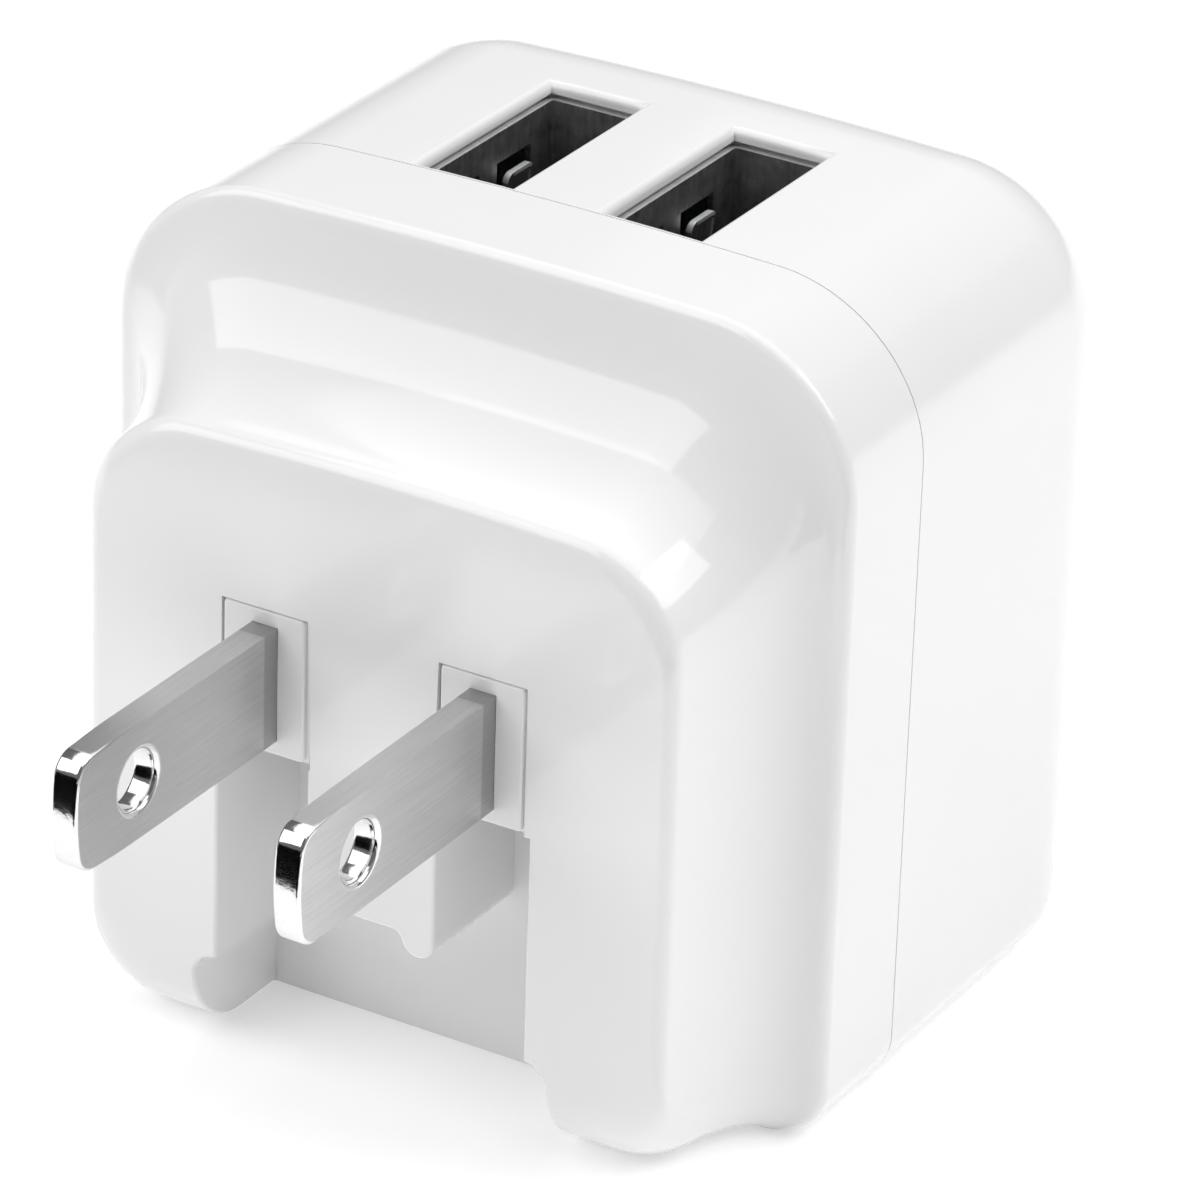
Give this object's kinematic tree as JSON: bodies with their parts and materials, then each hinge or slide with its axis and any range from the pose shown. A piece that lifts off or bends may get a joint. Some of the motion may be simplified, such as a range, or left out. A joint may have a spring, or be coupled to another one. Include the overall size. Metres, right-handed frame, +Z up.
{
  "type": "usb wall charger",
  "caption": "Rounded-cube wall charger with two USB-A sockets in its top face and a flat two-blade plug that folds down into its front.",
  "frame": {"origin": "middle of the flat plug face, between the two prongs, at the height of the prongs' centre line", "axes": "-Y points out of the plug face towards the wall outlet, +Z is up towards the USB sockets, +X is to the right when looking at the plug face"},
  "size_m": [0.0428, 0.0568, 0.0439],
  "materials": {
    "white_plastic": "glossy moulded",
    "carrier_plastic": "glossy moulded",
    "nickel": "nickel-plated, brushed",
    "spring_bronze": "rolled spring strip",
    "socket_steel": "plated sheet steel",
    "socket_plastic": "moulded",
    "board_green": "solder mask over glass laminate",
    "ferrite": "sintered ferrite",
    "tape": "insulating tape over wire",
    "bobbin_plastic": "moulded",
    "capacitor_sleeve": "shrink sleeve",
    "chip_black": "moulded epoxy",
    "disc_ceramic": "dipped coating",
    "resistor_body": "cement coating",
    "opto_white": "moulded",
    "wire_black": "insulated wire",
    "wire_white": "insulated wire",
    "insulation_film": "film"
  },
  "bodies": {
    "body": {"bridge_rectifier": "chip_black", "charge_controller": "chip_black", "contact_spring_left": "spring_bronze", "contact_spring_right": "spring_bronze", "controller_chip": "chip_black", "detent_spring": "spring_bronze", "filter_inductor": "ferrite", "front_cover": "white_plastic", "fuse_resistor": "resistor_body", "input_capacitor_a": "capacitor_sleeve", "input_capacitor_b": "capacitor_sleeve", "insulation_sheet": "insulation_film", "link_board": "board_green", "main_board": "board_green", "mains_lead_left": "wire_black", "mains_lead_right": "wire_white", "optocoupler": "opto_white", "output_capacitor_left": "capacitor_sleeve", "output_capacitor_right": "capacitor_sleeve", "port_board": "board_green", "rear_housing": "white_plastic", "rectifier_diode": "chip_black", "safety_capacitor": "disc_ceramic", "shaft_bracket": "carrier_plastic", "transformer_bobbin": "bobbin_plastic", "transformer_core": "ferrite", "transformer_winding": "tape", "usb_shell_left": "socket_steel", "usb_shell_right": "socket_steel", "usb_tongue_left": "socket_plastic", "usb_tongue_right": "socket_plastic"},
    "prongs": {"prong_carrier": "carrier_plastic", "prong_left": "nickel", "prong_right": "nickel"}
  },
  "joints": [
    {"name": "prong_fold", "type": "hinge", "parent": "body", "child": "prongs", "pos_m": [0, 0.004, 0], "axis": [1, 0, 0], "range_deg": [0, 90]}
  ]
}
